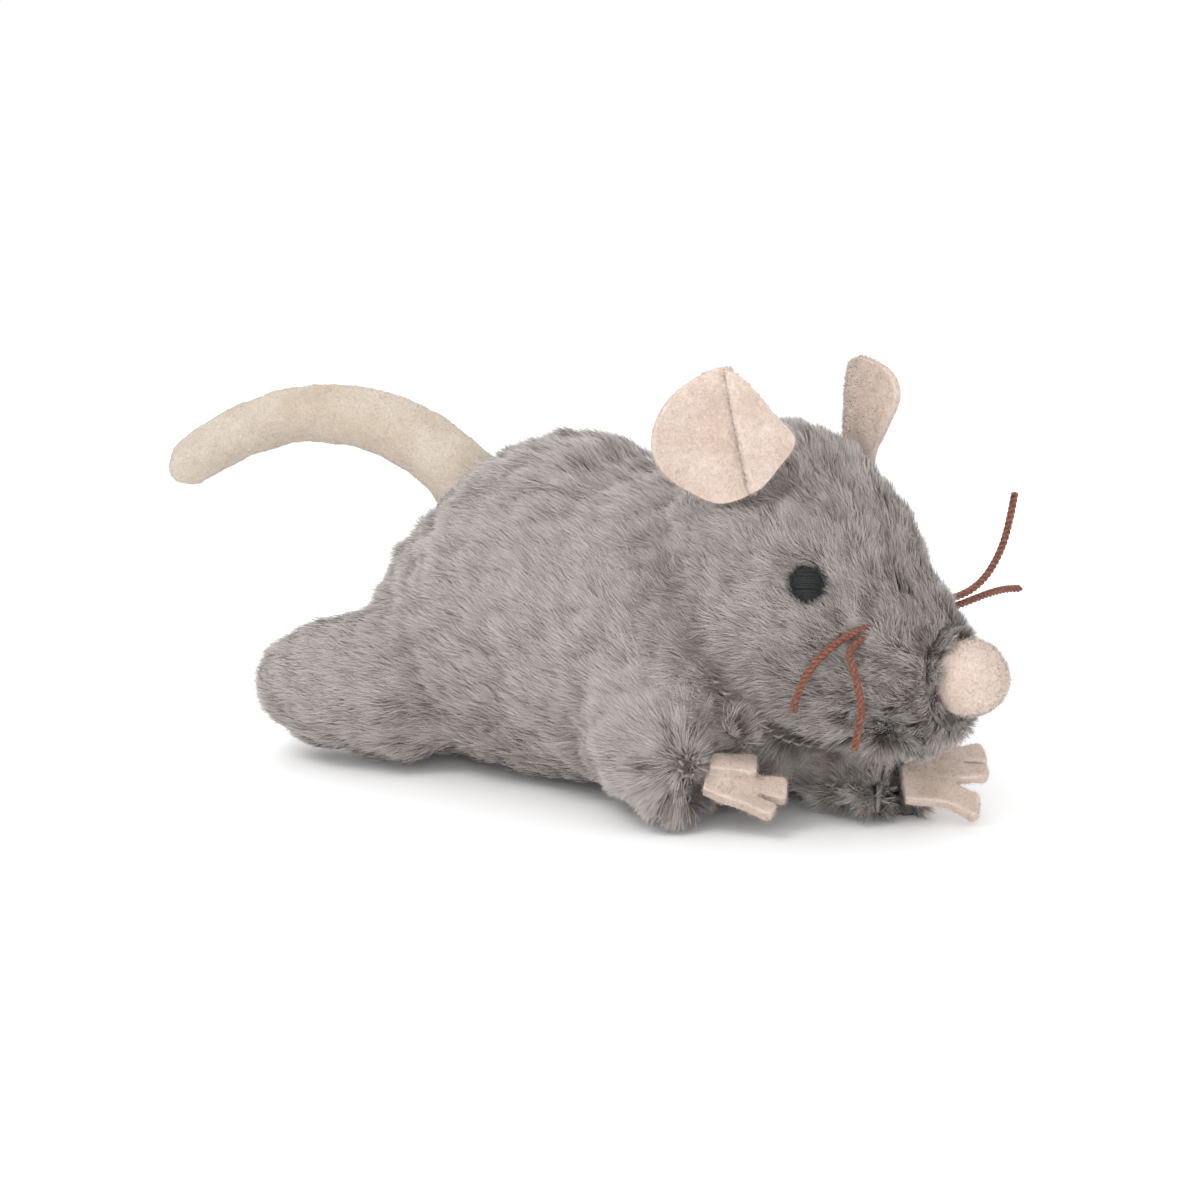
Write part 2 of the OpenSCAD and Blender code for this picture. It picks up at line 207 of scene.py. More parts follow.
def fibre_material(name, along, across, roughness=0.6, specular=0.25, sheen=0.15):
    """For a coat of fibres: along gives the colour from root to tip, across what varies from fibre to
    fibre. A fibre's UV map holds across in U and along in V."""
    m, tree, shader = material(name, roughness, specular, sheen)
    uv = tree.nodes.new("ShaderNodeUVMap")
    uv.uv_map = "OFBake"
    split = tree.nodes.new("ShaderNodeSeparateXYZ")
    tree.links.new(uv.outputs["UV"], split.inputs["Vector"])
    colour = multiply(tree, ramp(tree, along, split.outputs["Y"]),
                      ramp(tree, across, split.outputs["X"]))
    tree.links.new(colour, shader.inputs["Base Color"])
    return m


def felt_material(name, pale, deep, patch=160):
    """Pressed fibres: mottled colour and a fine matted bump."""
    m, tree, shader = material(name, 0.9, 0.15, 0.35, (1, 0.93, 0.88))
    colour = ramp(tree, [(0.3, deep), (0.62, pale)], noise(tree, patch, 4))
    flecks = ramp(tree, [(0.35, (0.86, 0.84, 0.83)), (0.6, (1, 1, 1))], noise(tree, 2600, 2))
    tree.links.new(multiply(tree, colour, flecks), shader.inputs["Base Color"])
    bump(tree, shader, noise(tree, 2400, 4, roughness=0.75), 0.55, 0.0004)
    return m


def thread_material(name, pale, deep, roughness=0.5, specular=0.4):
    m, tree, shader = material(name, roughness, specular, 0.1)
    colour = ramp(tree, [(0.35, deep), (0.65, pale)], noise(tree, 1800, 3))
    tree.links.new(colour, shader.inputs["Base Color"])
    bump(tree, shader, noise(tree, 5000, 2), 0.3, 0.0001)
    return m


FUR_ALONG = [(0.0, (0.13, 0.11, 0.085)), (0.28, (0.28, 0.245, 0.215)), (0.6, (0.49, 0.445, 0.425)),
             (1.0, (0.7, 0.67, 0.655))]
FUR_ACROSS = [(0.0, (0.39, 0.365, 0.335)), (0.5, (0.86, 0.84, 0.825)), (1.0, (1, 1, 1))]

fur_fibre = fibre_material("plush_pile", FUR_ALONG, FUR_ACROSS)
felt_pink = felt_material("pink_felt", (0.72, 0.605, 0.53), (0.62, 0.49, 0.41))
felt_fuzz = fibre_material("pink_felt_fibres", [(0, (0.7, 0.57, 0.5)), (1, (0.84, 0.75, 0.69))],
                           [(0, (0.85, 0.8, 0.78)), (1, (1, 1, 1))], 0.8, 0.1, 0.2)
fleece_cream = felt_material("cream_fleece", (0.58, 0.51, 0.43), (0.5, 0.42, 0.33), 90)
fleece_fuzz = fibre_material("cream_fleece_fibres", [(0, (0.6, 0.52, 0.42)), (1, (0.76, 0.7, 0.62))],
                             [(0, (0.85, 0.8, 0.74)), (1, (1, 1, 1))], 0.8, 0.1, 0.2)
cord_copper = thread_material("copper_cord", (0.25, 0.088, 0.05), (0.1, 0.032, 0.02), 0.5, 0.35)
eye_thread = thread_material("black_thread", (0.012, 0.0135, 0.0145), (0.004, 0.0045, 0.005), 0.4, 0.35)
eye_fuzz = fibre_material("black_thread_fibres", [(0, (0.004, 0.0045, 0.005)), (1, (0.028, 0.03, 0.033))],
                          [(0, (0.6, 0.6, 0.6)), (1, (1, 1, 1))], 0.5, 0.4, 0)
sewing_thread = thread_material("grey_thread", (0.3, 0.275, 0.25), (0.14, 0.125, 0.11))


def backing_material():
    """The knitted backing that the pile stands in."""
    m, tree, shader = material("knitted_backing", 0.95, 0.1, 0.1)
    colour = ramp(tree, [(0.35, (0.15, 0.135, 0.118)), (0.65, (0.26, 0.24, 0.222))],
                  noise(tree, 900, 4))
    tree.links.new(colour, shader.inputs["Base Color"])
    bump(tree, shader, noise(tree, 1500, 3), 0.6, 0.0005)
    return m


def wadding_material():
    m, tree, shader = material("loose_fibre", 0.9, 0.1, 0.4)
    colour = ramp(tree, [(0.3, (0.7, 0.7, 0.67)), (0.7, (0.88, 0.88, 0.86))], noise(tree, 260, 5))
    tree.links.new(colour, shader.inputs["Base Color"])
    bump(tree, shader, noise(tree, 700, 5), 0.8, 0.0012)
    return m


backing = backing_material()
wadding = wadding_material()


# ---- soft surfaces taken from the CAD solids ----

def wrapped(name, names, voxel, rounds):
    """One closed surface round CAD nodes, smoothed in rounds. voxel is in millimetres."""
    bm = bmesh.new()
    for n in names:
        bm.from_mesh(nodes[n].data)
    mesh = bpy.data.meshes.new(name)
    bm.to_mesh(mesh)
    bm.free()
    obj = new_object(name, mesh)
    remesh = obj.modifiers.new("wrap", "REMESH")
    remesh.mode = "VOXEL"
    remesh.voxel_size = voxel * MM
    smooth = obj.modifiers.new("smooth", "SMOOTH")
    smooth.factor = 0.5
    smooth.iterations = rounds
    return applied(obj)


def inset(mesh, depth):
    points, normals = points_of(mesh)
    set_points(mesh, points - normals * depth)


class Surface:
    """A triangulated surface to scatter fibres on, in millimetres."""

    def __init__(self, mesh):
        mesh.calc_loop_triangles()
        self.points, self.normals = points_of(mesh)
        corners = np.zeros(len(mesh.loop_triangles) * 3, np.int32)
        mesh.loop_triangles.foreach_get("vertices", corners)
        self.triangles = corners.reshape(-1, 3)
        a, b, c = (self.points[self.triangles[:, i]] for i in range(3))
        self.areas = np.linalg.norm(np.cross(b - a, c - a), axis=1) / 2

    def scatter(self, count, rng, share=None):
        """count points and normals; share is each triangle's own density, from 0 to 1."""
        weight = self.areas if share is None else self.areas * share
        picked = rng.choice(len(self.areas), count, p=weight / weight.sum())
        u, v = rng.random((2, count, 1))
        u, v = np.where(u + v > 1, 1 - u, u), np.where(u + v > 1, 1 - v, v)
        i, j, k = self.triangles[picked].T
        points, normals = (values[i] * (1 - u - v) + values[j] * u + values[k] * v
                           for values in (self.points, self.normals))
        return points, unit(normals)

    def centres(self):
        return self.points[self.triangles].mean(axis=1)


# ---- coats of fibres ----

FIBRE_RINGS = np.array([0.0, 0.36, 0.7, 1.0])      # places along a fibre where it may bend
FIBRE_WIDTHS = np.array([1.0, 0.9, 0.62])          # and its width there; its end is a point
FIBRE_POINTS = 7                                    # two at each ring and one at the tip
FIBRE_PATTERN = np.array([0, 1, 3, 2, 2, 3, 5, 4, 4, 5, 6])     # corners of its three faces
FIBRE_FACE_STARTS = np.array([0, 4, 8])             # where each face starts in the pattern
DROOP = 0.55                                        # how far it bends over, in radians
FLOOR_GAP = 0.15                                    # the least height of a fibre above the floor
MOST_FIBRES = 39000                                 # in one piece


def fibres(name, roots, normals, comb, length, lift, shade, rng, mat, width, clump=0.45,
           per_clump=22, stray=0.22):
    """A piece made of flat tapered fibres. comb is the way each fibre leans, lift its angle above the
    surface, shade from 0 to 1 its own tone. Neighbours are drawn together at their tips by clump.
    The UV map keeps the tone across and the place along the fibre, a little inside the map's edge."""
    n = len(roots)
    comb = comb - normals * (comb * normals).sum(1, keepdims=True)
    comb = unit(comb + np.cross(normals, comb) * rng.normal(0, stray, (n, 1)))
    lift = lift + rng.normal(0, 0.13, n)
    length = length * rng.uniform(0.78, 1.12, n)
    line = [roots]
    directions = []
    for k in range(3):
        angle = np.clip(lift + DROOP * (0.5 - k / 2), 0.04, 1.5)[:, None]
        direction = comb * np.cos(angle) + normals * np.sin(angle)
        directions.append(direction)
        line.append(line[-1] + direction * (length * (FIBRE_RINGS[k + 1] - FIBRE_RINGS[k]))[:, None])
    line = np.stack(line, axis=1)
    heads = rng.choice(n, max(1, n // per_clump), replace=False)
    tree = KDTree(len(heads))
    for i, h in enumerate(heads):
        tree.insert(roots[h], i)
    tree.balance()
    near = heads[np.array([tree.find(p)[1] for p in roots])]
    pull = clump * rng.uniform(0.4, 1.25, n)[:, None, None] * (FIBRE_RINGS ** 1.6)[None, :, None]
    line = line + (line[near] - line) * pull
    roll = rng.uniform(-1.1, 1.1, n)[:, None]
    points = []
    for k in range(3):
        run = unit(line[:, k + 1] - line[:, k])
        side = unit(np.cross(run, normals))
        up = np.cross(side, run)
        flat = (side * np.cos(roll) + up * np.sin(roll)) * width * FIBRE_WIDTHS[k] / 2
        points += [line[:, k] - flat, line[:, k] + flat]
    points.append(line[:, 3])
    points = np.stack(points, axis=1).reshape(-1, 3)
    points[:, 2] = np.maximum(points[:, 2], FLOOR_GAP)
    corners = (FIBRE_PATTERN[None, :] + FIBRE_POINTS * np.arange(n)[:, None]).ravel()
    along = np.repeat(FIBRE_RINGS, 2)[FIBRE_PATTERN]
    mesh = bpy.data.meshes.new(name)
    mesh.vertices.add(len(points))
    mesh.vertices.foreach_set("co", (points * MM).astype(np.float32).ravel())
    mesh.loops.add(len(corners))
    mesh.loops.foreach_set("vertex_index", corners.astype(np.int32))
    mesh.polygons.add(3 * n)
    starts = (FIBRE_FACE_STARTS[None, :] + len(FIBRE_PATTERN) * np.arange(n)[:, None]).ravel()
    mesh.polygons.foreach_set("loop_start", starts.astype(np.int32))
    mesh.update(calc_edges=True)
    uv = mesh.uv_layers.new(name="OFBake")
    across = np.repeat(np.clip(shade, 0, 1) * 0.96 + 0.02, len(FIBRE_PATTERN))
    places = np.stack([across, np.tile(along * 0.94 + 0.03, n)], 1)
    uv.data.foreach_set("uv", places.astype(np.float32).ravel())
    mesh.polygons.foreach_set("use_smooth", np.ones(3 * n, bool))
    soft = unit(normals + 0.275 * rng.normal(size=(n, 3)))
    mesh.normals_split_custom_set_from_vertices(np.repeat(soft, FIBRE_POINTS, axis=0).tolist())
    mesh.materials.append(mat)
    return new_object(name, mesh)


def coat(name, body, surface, count, plan, seed, slot="grey_plush", mat=None, share=None, **look):
    """Fibres over a surface, in as many pieces as their number needs. plan gives, for roots and
    normals, which to keep, the comb, the lift, the length and the tone."""
    rng = np.random.default_rng(seed)
    roots, normals = surface.scatter(count, rng, share)
    keep, comb, lift, length, shade = plan(roots, normals, rng)
    roots, normals, comb = roots[keep], normals[keep], comb[keep]
    lift, length, shade = lift[keep], length[keep], shade[keep]
    order = np.argsort(roots[:, 0], kind="stable")
    parts = np.array_split(order, max(1, math.ceil(len(order) / MOST_FIBRES)))
    for i, part in enumerate(parts):
        piece = fibres(f"{name}_{i + 1}", roots[part], normals[part], comb[part], length[part],
                       lift[part], shade=shade[part], rng=rng, mat=mat or fur_fibre, **look)
        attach(piece, body)


def tone(p, rng, seed):
    """Fur's tone: broad patches, small tufts and each fibre's own."""
    return np.clip(0.66 + 0.09 * waves(p, 16, seed) + 0.13 * waves(p, 3.2, seed + 1)
                   + rng.normal(0, 0.18, len(p)), 0, 1)


# ---- the fur forms ----

PILE = 3.0          # how far the backing lies below the CAD's outer surface
SIDE_NAMES = {1: "left", -1: "right"}
CUFFS = {1: CUFF_LEFT, -1: CUFF_RIGHT}
CUFF_HEADINGS = {1: math.radians(-18), -1: math.radians(-33)}
CUFF_AXES = {side: (math.cos(a), math.sin(a), 0) for side, a in CUFF_HEADINGS.items()}
CHIN_AXIS = (0.2, -0.9, -0.35)
FORMS = {
    "trunk": ["body_panel_left", "body_panel_right", "belly_panel", "body_filling",
              "hind_leg_filling_left", "hind_leg_filling_right"],
    "head": ["head_panel_left", "head_panel_right", "chin_panel", "head_filling"],
    "arm_left": ["arm_sleeve_left", "arm_filling_left"],
    "arm_right": ["arm_sleeve_right", "arm_filling_right"],
}


def tree_of(mesh):
    points, _ = points_of(mesh)
    return BVHTree.FromPolygons(points.tolist(), [tuple(p.vertices) for p in mesh.polygons])


def away_from(p, centre):
    return unit(p - centre)


def nearness(p, centre, reach):
    """1 at a place, falling to 0 at reach."""
    return 1 - smoothstep(0, reach, np.linalg.norm(p - centre, axis=1))


def body_comb(p):
    """The trunk's pile runs back from the neck, and back and up away from each arm's pucker."""
    back = np.tile([-1.0, 0, 0.12], (len(p), 1))
    back[:, 2] += 0.75 * smoothstep(-25, 25, p[:, 0]) * smoothstep(64, 40, p[:, 2])
    back[:, 1] += 0.25 * np.sign(p[:, 1]) * smoothstep(2, 20, np.abs(p[:, 1]))
    for cuff in CUFFS.values():
        share = nearness(p, cuff, 50)[:, None]
        back = back * (1 - share) + away_from(p, cuff) * share
    return unit(back)


def head_comb(p):
    """The head's pile runs back from the nose and away from the chin's pucker."""
    comb = unit(away_from(p, NOSE) + np.array([-0.4, 0, 0.45]))
    comb = unit(comb + 0.5 * np.stack([waves(p, 7, 54), waves(p, 7, 55), waves(p, 7, 56)], 1))
    share = nearness(p, CHIN_PUCKER, 15)[:, None]
    comb = comb * (1 - share) + away_from(p, CHIN_PUCKER) * share
    share = nearness(p, NOSE, NOSE_RADIUS + 6)[:, None]
    return unit(comb * (1 - share) + np.array([1.0, 0, 0]) * share)


def pile_length(p, n, longest):
    """Shorter under the body, where it is pressed flat."""
    under = smoothstep(-0.2, -0.9, n[:, 2])
    return longest * (1 - 0.5 * under) * (1 + 0.1 * waves(p, 7, 5) + 0.2 * waves(p, 4, 6))


def neck_crease_painted_shade(p):
    """Painted shade: how much darker the pile is painted in the crease between the head and the body."""
    crease = np.exp(-(((p - NECK) @ NECK_FORWARD - 1) / 3.6) ** 2)
    return 0.4 * crease * smoothstep(54, 28, p[:, 2]) * smoothstep(6, 14, p[:, 2])


def trunk_plan(p, n, rng):
    lift = 0.38 + 0.14 * waves(p, 5, 11) - 0.16 * smoothstep(-0.2, -0.9, n[:, 2])
    at_tail = nearness(p, TAIL_ROOT, 16)
    comb = unit(body_comb(p) * (1 - at_tail)[:, None] - away_from(p, TAIL_ROOT) * at_tail[:, None])
    length = pile_length(p, n, 5.0) + 2.0 * at_tail
    keep = np.linalg.norm(p - TAIL_ROOT, axis=1) > 4
    # Painted shade: the trunk's tone is darkened in the crease at the neck.
    return keep, comb, lift + 0.4 * at_tail, length, tone(p, rng, 21) - neck_crease_painted_shade(p)


def arm_plan(cuff):
    def plan(p, n, rng):
        at_cuff = nearness(p, cuff, 14)
        comb = unit(p - cuff + rng.normal(0, 0.5, p.shape))
        lift = 0.36 + 0.16 * at_cuff + 0.12 * waves(p, 5, 13)
        length = pile_length(p, n, 5.0) * (1 - 0.3 * nearness(p, cuff, 5))
        rel = p - cuff
        turn = np.arctan2(rel[:, 2], rel @ unit(np.array([-cuff[1], cuff[0], 0])))
        # Painted shade: the tone is darkened in the valleys between the folds round the cuff's pucker.
        fold_valley_painted_shade = smoothstep(0.45, 1, np.sin(7 * turn + 1.5 * np.sin(2 * turn)))
        shade = tone(p, rng, 31) - 0.5 * fold_valley_painted_shade * nearness(p, cuff, 14)
        return np.ones(len(p), bool), comb, lift, length, shade
    return plan


def head_plan(p, n, rng):
    in_nose = np.linalg.norm(p - NOSE, axis=1) < NOSE_RADIUS - 2.5
    from_eye = np.minimum(np.linalg.norm(p - EYE_RIGHT, axis=1), np.linalg.norm(p - EYE_LEFT, axis=1))
    muzzle = smoothstep(62, 74, p[:, 0]) * (1 - smoothstep(32, 44, p[:, 2]))
    brow = smoothstep(54, 66, p[:, 2])
    lift = 0.5 + 0.3 * muzzle + 0.3 * brow + 0.2 * waves(p, 4, 17)
    length = 4.6 - 1.0 * muzzle - 0.2 * brow + 0.4 * waves(p, 5, 18)
    mottle = waves(p, 3.4, 57) * (0.12 + 0.16 * muzzle)
    nose_painted_light = nearness(p, NOSE, NOSE_RADIUS + 3)
    forehead = smoothstep(46, 58, p[:, 2])
    chin = nearness(p, CHIN_PUCKER, 16)
    # Painted shade: the head's tone is darkened in the crease at the neck.
    shade = tone(p, rng, 51) - 0.22 - 0.14 * muzzle + 0.16 * forehead + mottle - neck_crease_painted_shade(p)
    # Painted light: the tone is lightened round the nose and on the chin, against the shade that falls
    # there.
    shade += 0.4 * nose_painted_light + 0.4 * chin
    return ~in_nose & (from_eye > 2.3), head_comb(p), lift, length, shade


PLANS = {"trunk": trunk_plan, "head": head_plan, "arm_left": arm_plan(CUFF_LEFT),
         "arm_right": arm_plan(CUFF_RIGHT)}
COATS = {
    "trunk": {"count": 300000, "width": 0.115, "clump": 0.26, "per_clump": 9, "stray": 0.32},
    "head": {"count": 180000, "width": 0.11, "clump": 0.34, "per_clump": 10, "stray": 0.4},
    "arm_left": {"count": 42000, "width": 0.115, "clump": 0.3, "per_clump": 10, "stray": 0.3},
    "arm_right": {"count": 72000, "width": 0.115, "clump": 0.26, "per_clump": 10, "stray": 0.26},
}
LINING = {"trunk": 26000, "head": 24000, "arm_left": 7000, "arm_right": 9000}


def pucker(mesh, centre, axis, depth, reach, folds, seed):
    """Draws a surface in at a gathering stitch, with folds running out from it."""
    points, normals = points_of(mesh)
    axis = unit(np.array(axis, float))
    rel = points - centre
    flat = rel - np.outer(rel @ axis, axis)
    across = unit(np.cross(axis, [0.3, 0.2, 1.0]))
    turn = np.arctan2(flat @ np.cross(axis, across), flat @ across)
    far = np.linalg.norm(rel, axis=1)
    share = np.exp(-(far / reach) ** 2)
    rng = np.random.default_rng(seed)
    fold = sum(np.sin(turn * k + rng.uniform(0, 6.28)) for k in folds) / len(folds)
    ridge = np.exp(-((far - reach * 0.9) / (reach * 0.8)) ** 2) * fold * 0.7
    set_points(mesh, points - np.outer(share * depth, axis) + normals * ridge[:, None])


def shaped(mesh):
    """Seams, folds and lumps of the whole outer surface."""
    points, normals = points_of(mesh)
    x, y, z = points.T
    belly_fold = np.exp(-((z - 8.5 + 0.06 * x) / 2.6) ** 2) * smoothstep(-27, -18, x)
    belly_fold *= 1 - smoothstep(8, 20, x)
    middle_seam = np.exp(-(y / 2.4) ** 2) * smoothstep(57, 64, x) * smoothstep(24, 36, z)
    neck = np.exp(-(((points - NECK) @ NECK_FORWARD) / 3.2) ** 2) * (0.9 + 1.6 * smoothstep(45, 20, z))
    lumps = 0.4 * waves(points, 13, 3) + 0.22 * waves(points, 5.5, 4)
    push = lumps - 1.1 * belly_fold - 1.9 * middle_seam * (normals[:, 2] > 0) - neck
    set_points(mesh, points + normals * push[:, None])
    for side, cuff in CUFFS.items():
        pucker(mesh, cuff, CUFF_AXES[side], depth=1.5, reach=6.5, folds=(7, 12), seed=41)
    pucker(mesh, CHIN_PUCKER + [2, -5, 0], CHIN_AXIS, depth=2.0, reach=5, folds=(6, 10), seed=43)


def lay_backing(skin, body, outer_tree):
    """Lays a form's backing below the shaped outer surface where it shows. Where another form covers
    it, all but the trunk's is drawn in. Returns how covered each point is, from 0 to 1."""
    points, normals = points_of(skin.data)
    found = [outer_tree.find_nearest(p) for p in points]
    outward = np.array([tuple(f[1]) for f in found])
    surface_points = np.array([tuple(f[0]) for f in found])
    depth = ((surface_points - points) * outward).sum(1)
    covered = smoothstep(1.5, 4.5, depth)
    share = covered[:, None]
    below = surface_points - outward * (PILE + 0.1)
    drawn_in = points - normals * (0.0 if body == "trunk" else PILE + 0.1)
    set_points(skin.data, below * (1 - share) + drawn_in * share)
    return covered


def lined_triangles(body, lining, covered):
    """1 for each triangle of a backing that has short pile against its neighbour, else 0. The
    head's back and the bottom of the hollow for it have none."""
    inner = covered[lining.triangles].mean(axis=1) > 0.5
    in_socket = np.linalg.norm(lining.centres() - NECK, axis=1) < 26 + 4 * (body == "trunk")
    forward = (lining.centres() - NECK) @ NECK_FORWARD
    inner |= (body == "head") & (np.abs(forward + 4) < 6)
    inner &= ~(in_socket & (forward < -10))
    return inner * 1.0


def build_soft_forms():
    """The backing of each fur form and the pile on it. The pile stands on one surface drawn round all
    the forms, so that it runs on from one to the next; each fibre rides with the form nearest its root."""
    outer = wrapped("outer", sum(FORMS.values(), []), 1.2, 10)
    shaped(outer.data)
    outer_tree = tree_of(outer.data)
    inset(outer.data, PILE)
    surface = Surface(outer.data)
    own = {body: wrapped(f"{body}_backing", names, 1.0, 6) for body, names in FORMS.items()}
    own_trees = {body: tree_of(obj.data) for body, obj in own.items()}
    centres = surface.centres()
    bodies = list(FORMS)
    distance = np.array([[own_trees[b].find_nearest(c)[3] for b in bodies] for c in centres])
    nearest = distance.argmin(axis=1)
    for i, body in enumerate(bodies):
        skin = own[body]
        covered = lay_backing(skin, body, outer_tree)
        skin.data.materials.append(backing)
        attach(skin, body)
        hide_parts(*[n for n in FORMS[body] if "filling" not in n])
        look = dict(COATS[body])
        coat(f"{body}_pile", body, surface, look.pop("count"), PLANS[body], 101 + i,
             share=(nearest == i) * 1.0, **look)
        lining = Surface(skin.data)
        coat(f"{body}_lining_pile", body, lining, LINING[body], lining_plan, 121 + i,
             share=lined_triangles(body, lining, covered), width=0.16)
    bpy.data.objects.remove(outer)


def lining_plan(p, n, rng):
    """Flat, short pile where two forms lie against each other."""
    count = len(p)
    return np.ones(count, bool), body_comb(p), np.full(count, 0.12), np.full(count, 2.6), tone(p, rng, 61)


# ---- nose, eyes and ears ----

def soft_ball(name, centre, radii):
    """A ball with three radii of its own, in millimetres."""
    bm = bmesh.new()
    bmesh.ops.create_icosphere(bm, subdivisions=5, radius=1.0)
    mesh = bpy.data.meshes.new(name)
    bm.to_mesh(mesh)
    bm.free()
    points = np.zeros(len(mesh.vertices) * 3)
    mesh.vertices.foreach_get("co", points)
    set_points(mesh, points.reshape(-1, 3) * radii + centre)
    mesh.shade_smooth()
    return new_object(name, mesh)


def fuzz_plan(length, lift):
    def plan(p, n, rng):
        count = len(p)
        comb = unit(rng.normal(size=(count, 3)))
        return (np.ones(count, bool), comb, rng.uniform(lift - 0.5, lift + 0.3, count),
                np.full(count, length) * rng.uniform(0.5, 1.4, count), rng.random(count))
    return plan


def fuzz(name, body, obj, count, length, seed, mat, slot, lift=0.9):
    """Loose ends of fibre on felt or fleece."""
    coat(name, body, Surface(obj.data), count, fuzz_plan(length, lift), seed, slot, mat,
         width=0.045, clump=0.1, stray=0.5)


def build_nose():
    nose = soft_ball("nose_felt", NOSE, np.array([NOSE_RADIUS, NOSE_RADIUS * 1.02, NOSE_RADIUS * 0.98]))
    points, normals = points_of(nose.data)
    back = smoothstep(-2, -6.5, points[:, 0] - NOSE[0])
    set_points(nose.data, points + normals * (0.14 * waves(points, 5, 71) - 0.7 * back)[:, None])
    nose.data.materials.append(felt_pink)
    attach(nose, "head")
    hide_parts("nose_cap")
    fuzz("nose_fuzz", "head", nose, 9000, 0.75, 72, felt_fuzz, "pink_felt")
    socket = soft_ball("socket", NOSE - [0.6, 0, 0], np.full(3, NOSE_RADIUS + 0.3))
    coat("nose_ruff", "head", Surface(socket.data), 22000, ruff_plan, 73, width=0.1, clump=0.3,
         per_clump=9, stray=0.5)
    bpy.data.objects.remove(socket)


def ruff_plan(p, n, rng):
    """The pile round the nose, which laps over its rim."""
    keep = (n[:, 0] < -0.3 + 0.16 * waves(p, 4, 74)) & (n[:, 0] > -0.95)
    comb = unit(np.array([1.0, 0, 0]) + 0.4 * rng.normal(size=p.shape))
    # Painted light: the ruff's tone is lightened against the shade in the hollow round the nose.
    shade = tone(p, rng, 75) + 0.25
    return keep, comb, 0.55 + 0.2 * waves(p, 3, 76), np.full(len(p), 2.9), shade


def tube(path, radius, sides):
    """Points and faces of a closed tube along a list of points."""
    path = np.asarray(path, float)
    run = unit(np.gradient(path, axis=0))
    side = unit(np.cross(run[0], [0.31, 0.53, 0.79]))
    points = []
    for k in range(len(path)):
        side = unit(side - run[k] * (side @ run[k]))
        other = np.cross(run[k], side)
        for i in range(sides):
            a = 2 * math.pi * i / sides
            points.append(path[k] + radius * (side * math.cos(a) + other * math.sin(a)))
    faces = [(k * sides + i, k * sides + (i + 1) % sides, (k + 1) * sides + (i + 1) % sides,
              (k + 1) * sides + i) for k in range(len(path) - 1) for i in range(sides)]
    last = (len(path) - 1) * sides
    faces.append(tuple(range(sides - 1, -1, -1)))
    faces.append(tuple(last + i for i in range(sides)))
    return np.array(points), faces


def tubes(name, runs, mat, sides=6):
    """One piece made of several tubes; runs holds (path, radius)."""
    points, faces = [], []
    for path, radius in runs:
        p, f = tube(path, radius, sides)
        start = sum(len(x) for x in points)
        points.append(p)
        faces += [tuple(start + i for i in face) for face in f]
    mesh = mesh_from(name, np.concatenate(points), faces)
    mesh.materials.append(mat)
    return new_object(name, mesh)


def frame_of(axis, hint=(0, 0, 1)):
    """An axis and two directions across it."""
    axis = unit(np.array(axis, float))
    across = unit(np.cross(hint, axis))
    return axis, across, np.cross(axis, across)


EYE_TILT = math.radians(70)         # of an eye's axis from the vertical
EYE_HEADING = math.radians(58)      # and outward from straight ahead
EYE_RADIUS = 2.75
EYE_RISE = 1.9                      # of the satin stitches over the pad
EYE_SINK = 0.9                      # how deep the pad's middle lies
EYE_PAD_RADIUS = 2.6
EYE_STITCHES = 17
EYE_THREAD_RADIUS = 0.22


def satin_stitches(middle_point, axis, across, up, rng):
    """Threads side by side over a crowned disc, as (path, radius)."""
    runs = []
    for k in np.linspace(-0.93, 0.93, EYE_STITCHES):
        half = math.sqrt(1 - k * k)
        t = np.linspace(-1, 1, 9)
        rise = np.sqrt(np.maximum(0, 1 - (t * half) ** 2 - k * k * 0.8)) * half ** 0.3
        height = k + rng.normal(0, 0.06) * 0.4
        path = (middle_point + np.outer(t * half * EYE_RADIUS, across) + up * height * EYE_RADIUS
                + np.outer(rise * EYE_RISE, axis))
        runs.append((path, EYE_THREAD_RADIUS))
    return runs


def build_eyes():
    for side, centre in ((1, EYE_LEFT), (-1, EYE_RIGHT)):
        word = SIDE_NAMES[side]
        axis, across, up = frame_of((math.sin(EYE_TILT) * math.cos(EYE_HEADING),
                                     side * math.sin(EYE_TILT) * math.sin(EYE_HEADING),
                                     math.cos(EYE_TILT)))
        seat = centre - axis * EYE_SINK
        runs = satin_stitches(seat, axis, across, up, np.random.default_rng(81 + side))
        eye = tubes(f"eye_stitches_{word}", runs, eye_thread)
        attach(eye, "head")
        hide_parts(f"eye_{word}")
        pad = soft_ball(f"eye_pad_{word}", seat, np.full(3, EYE_PAD_RADIUS))
        pad_points, _ = points_of(pad.data)
        rel = pad_points - seat
        flat = rel - np.outer((rel @ axis) * 0.4, axis)
        set_points(pad.data, flat + seat)
        pad.data.materials.append(eye_thread)
        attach(pad, "head")
        fuzz(f"eye_fuzz_{word}", "head", pad, 2600, 1.5, 84 + side, eye_fuzz, "eye_thread", 0.8)


EAR_ROOTS = {1: np.array([55, 18, 60.0]), -1: np.array([55, -18, 60.0])}
EAR_HEADING = math.radians(35)
EAR_SIZES = {1: (25, 17), -1: (25, 20)}     # width and height
EAR_OUTLINES = {     # toward the nose and up, in parts of the ear's size
    1: [(-0.02, -0.34), (0.16, 0.08), (0.29, 0.42), (0.33, 0.72), (0.22, 0.94), (-0.06, 1.01),
        (-0.32, 0.88), (-0.46, 0.56), (-0.42, 0.14), (-0.3, -0.32)],
    -1: [(0.03, -0.06), (0.17, 0.16), (0.27, 0.38), (0.14, 0.58), (0.0, 0.8), (-0.15, 0.97),
         (-0.36, 0.9), (-0.58, 0.68), (-0.68, 0.4), (-0.64, 0.14), (-0.47, -0.06), (-0.22, -0.19)]}
EAR_MIDDLES = {1: (-0.07, 0.45), -1: (-0.2, 0.4)}
EAR_FELT = 1.5          # thickness
EAR_RINGS = 40          # of faces from an ear's middle to its rim
RIM_POINTS = 96


